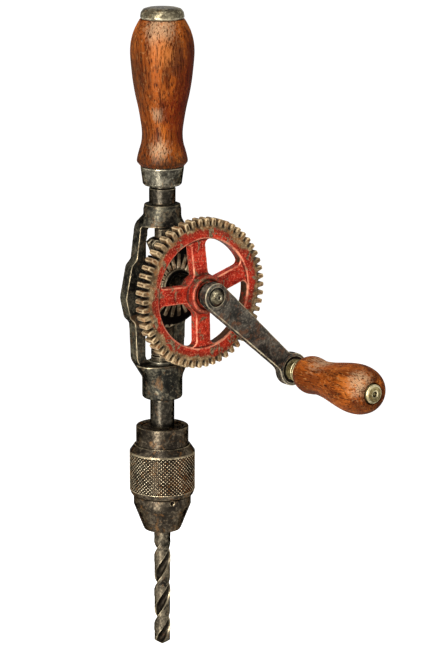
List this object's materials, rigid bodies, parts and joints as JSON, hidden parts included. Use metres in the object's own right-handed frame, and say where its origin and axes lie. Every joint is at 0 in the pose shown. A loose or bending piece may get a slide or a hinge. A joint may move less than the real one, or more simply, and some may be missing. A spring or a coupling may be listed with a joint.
{
  "type": "hand drill",
  "caption": "Hand drill: turned wooden handle, open cast frame, spoked gear wheel with side crank, bevel gears, knurled jaw chuck and twist bit.",
  "frame": {"origin": "on the spindle axis, in the middle of the swell of the wooden handle, where the hand holds the drill", "axes": "+Z along the spindle axis towards the handle's cap, so the bit points along -Z; -Y towards the gear wheel and the crank; +X completes the right-handed frame"},
  "size_m": [0.1148, 0.1446, 0.3804],
  "materials": {
    "blackened_casting": "blackened casting with worn brown edges",
    "worn_steel": "worn, oiled steel with brown patina",
    "dark_steel": "dark machined steel",
    "red_enamel": "chipped red enamel over cast iron, bare at the teeth",
    "varnished_hardwood": "satin varnish over dark-streaked hardwood",
    "old_brass": "dull, tarnished brass",
    "bearing_bronze": "plain bearing bronze"
  },
  "bodies": {
    "drill": {"frame": "blackened_casting", "handle_rod": "worn_steel", "handle_ferrule": "worn_steel", "handle_grip": "varnished_hardwood", "handle_cap": "worn_steel", "idler_pin": "worn_steel", "axle_stud": "worn_steel", "axle_washer": "worn_steel", "axle_nut": "worn_steel", "crank_screw": "worn_steel", "spindle_bush": "bearing_bronze"},
    "crank": {"hub_sleeve": "worn_steel", "drive_gear": "dark_steel", "gear_pin": "worn_steel", "gear_spacer": "worn_steel", "gear_wheel": "red_enamel", "wheel_pin": "worn_steel", "crank_arm": "worn_steel", "grip_pin": "worn_steel", "grip_nut": "old_brass"},
    "grip": {"crank_grip": "varnished_hardwood", "grip_ferrule": "old_brass"},
    "spindle": {"spindle": "dark_steel", "drive_pinion": "dark_steel", "pinion_pin": "worn_steel", "thrust_washer": "worn_steel", "chuck_body": "worn_steel", "twist_bit": "dark_steel"},
    "idler": {"idler_pinion": "dark_steel"},
    "sleeve": {"chuck_sleeve": "worn_steel", "chuck_nut_a": "worn_steel", "chuck_nut_b": "worn_steel"},
    "jaw_1": {"jaw_1": "dark_steel"},
    "jaw_2": {"jaw_2": "dark_steel"},
    "jaw_3": {"jaw_3": "dark_steel"}
  },
  "joints": [
    {"name": "crank_spin", "type": "hinge", "parent": "drill", "child": "crank", "pos_m": [0, -0.03, -0.132], "axis": [0, 1, 0], "continuous": true},
    {"name": "grip_spin", "type": "hinge", "parent": "crank", "child": "grip", "pos_m": [0.05698, -0.09, -0.18259], "axis": [0, -1, 0], "continuous": true},
    {"name": "spindle_spin", "type": "hinge", "parent": "drill", "child": "spindle", "pos_m": [0, 0, -0.2], "axis": [0, 0, 1], "continuous": true},
    {"name": "idler_spin", "type": "hinge", "parent": "drill", "child": "idler", "pos_m": [0, 0, -0.105], "axis": [0, 0, 1], "continuous": true},
    {"name": "sleeve_turn", "type": "hinge", "parent": "spindle", "child": "sleeve", "pos_m": [0, 0, -0.245], "axis": [0, 0, 1], "range_deg": [0, 360]},
    {"name": "jaw_1_slide", "type": "slide", "parent": "spindle", "child": "jaw_1", "axis": [0.0226, -0.2153, 0.9763], "range_m": [0, 0.0015]},
    {"name": "jaw_2_slide", "type": "slide", "parent": "spindle", "child": "jaw_2", "axis": [0.1751, 0.1272, 0.9763], "range_m": [0, 0.0015]},
    {"name": "jaw_3_slide", "type": "slide", "parent": "spindle", "child": "jaw_3", "axis": [-0.1977, 0.088, 0.9763], "range_m": [0, 0.0015]}
  ],
  "couplings": [
    {"joint": "spindle_spin", "follows": "crank_spin", "ratio": -3},
    {"joint": "idler_spin", "follows": "crank_spin", "ratio": 3},
    {"joint": "jaw_1_slide", "follows": "sleeve_turn", "m_per_rad": 0.00023871},
    {"joint": "jaw_2_slide", "follows": "sleeve_turn", "m_per_rad": 0.00023871},
    {"joint": "jaw_3_slide", "follows": "sleeve_turn", "m_per_rad": 0.00023871}
  ]
}
